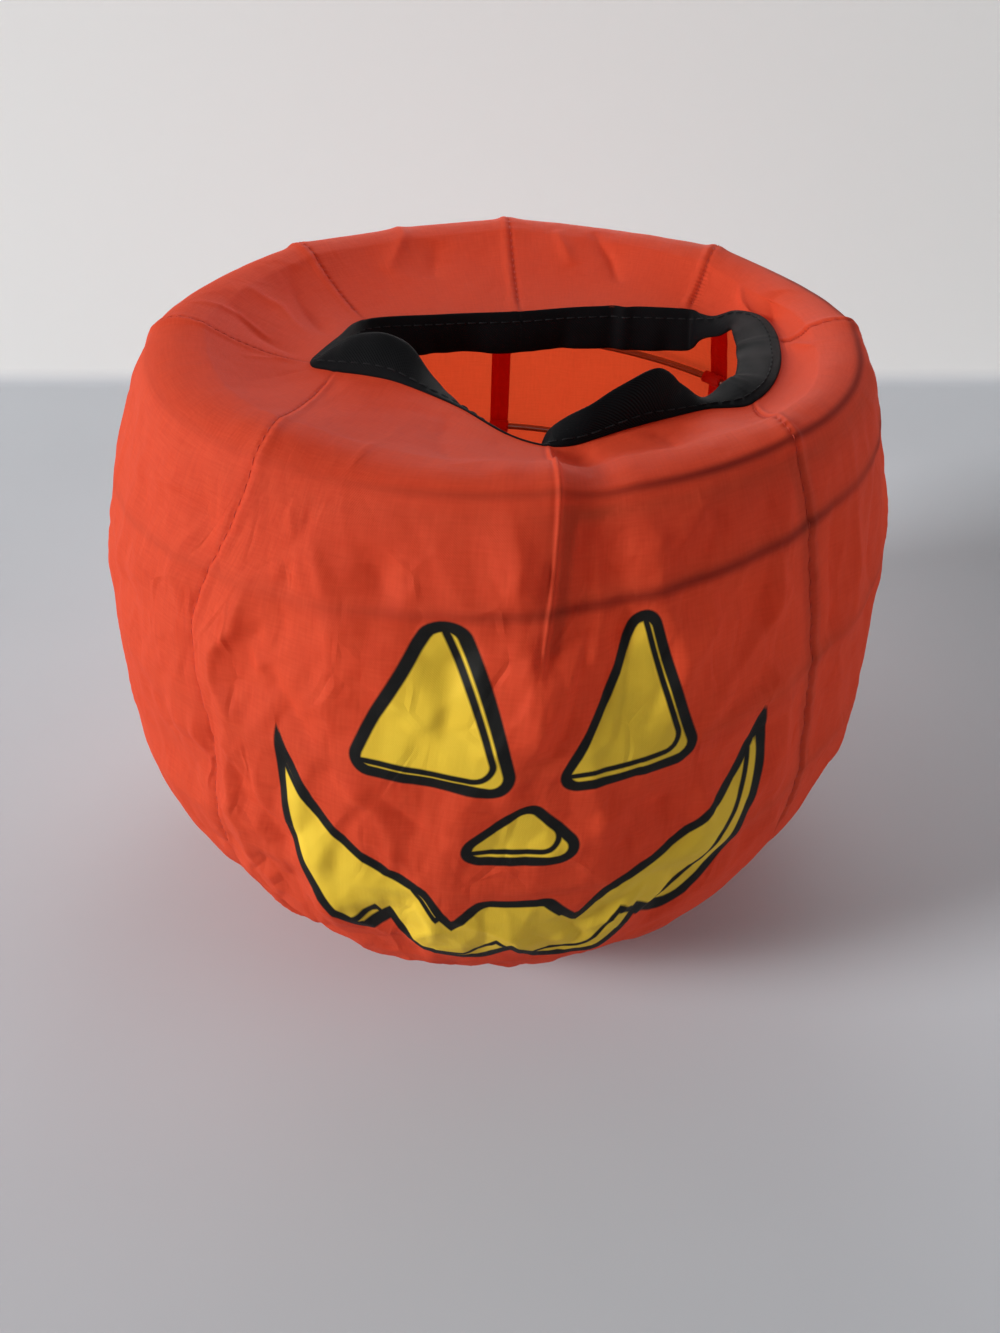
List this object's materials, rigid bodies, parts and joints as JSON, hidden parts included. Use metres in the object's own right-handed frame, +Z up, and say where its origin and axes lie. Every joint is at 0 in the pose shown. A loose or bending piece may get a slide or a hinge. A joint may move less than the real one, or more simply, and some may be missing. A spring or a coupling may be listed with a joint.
{
  "type": "pumpkin candy pail",
  "caption": "Pop-up cloth pail shaped like a pumpkin: sewn panels over a spiral spring wire, with a printed face, a flat round bottom and a bound oval mouth.",
  "frame": {"origin": "under the middle of the pail at its widest, on the surface that the pail stands on", "axes": "+Z up, -Y towards the viewer of the printed face, +X to that viewer's right, the way the pail leans"},
  "size_m": [0.1975, 0.1991, 0.1569],
  "materials": {
    "orange_cloth": "thin woven polyester",
    "printed_cloth": "thin woven polyester with a screen-printed face",
    "seam_tape": "folded cloth tape",
    "black_binding": "black satin binding",
    "spring_steel": "drawn spring wire",
    "black_vinyl": "soft vinyl"
  },
  "bodies": {
    "pail": {"bottom": "orange_cloth", "wire_cap_lower": "black_vinyl", "face_panel": "printed_cloth", "gore_right_front": "orange_cloth", "gore_right_rear": "orange_cloth", "gore_right_back": "orange_cloth", "gore_left_back": "orange_cloth", "gore_left_rear": "orange_cloth", "gore_left_front": "orange_cloth", "dart_tape": "seam_tape", "seam_tape_front_right": "seam_tape", "seam_tape_right": "seam_tape", "seam_tape_rear_right": "seam_tape", "seam_tape_rear": "seam_tape", "seam_tape_rear_left": "seam_tape", "seam_tape_left": "seam_tape", "seam_tape_front_left": "seam_tape", "spring_wire": "spring_steel"},
    "mouth": {"mouth_band": "black_binding", "wire_cap_upper": "black_vinyl"}
  },
  "joints": [
    {"name": "pop_up", "type": "slide", "parent": "pail", "child": "mouth", "axis": [0, 0, 1], "range_m": [-0.128, 0], "stiffness_N_per_m": 12, "springref_m": 0.03, "deforming": ["face_panel", "gore_right_front", "gore_right_rear", "gore_right_back", "gore_left_back", "gore_left_rear", "gore_left_front", "dart_tape", "seam_tape_front_right", "seam_tape_right", "seam_tape_rear_right", "seam_tape_rear", "seam_tape_rear_left", "seam_tape_left", "seam_tape_front_left", "spring_wire"]}
  ]
}
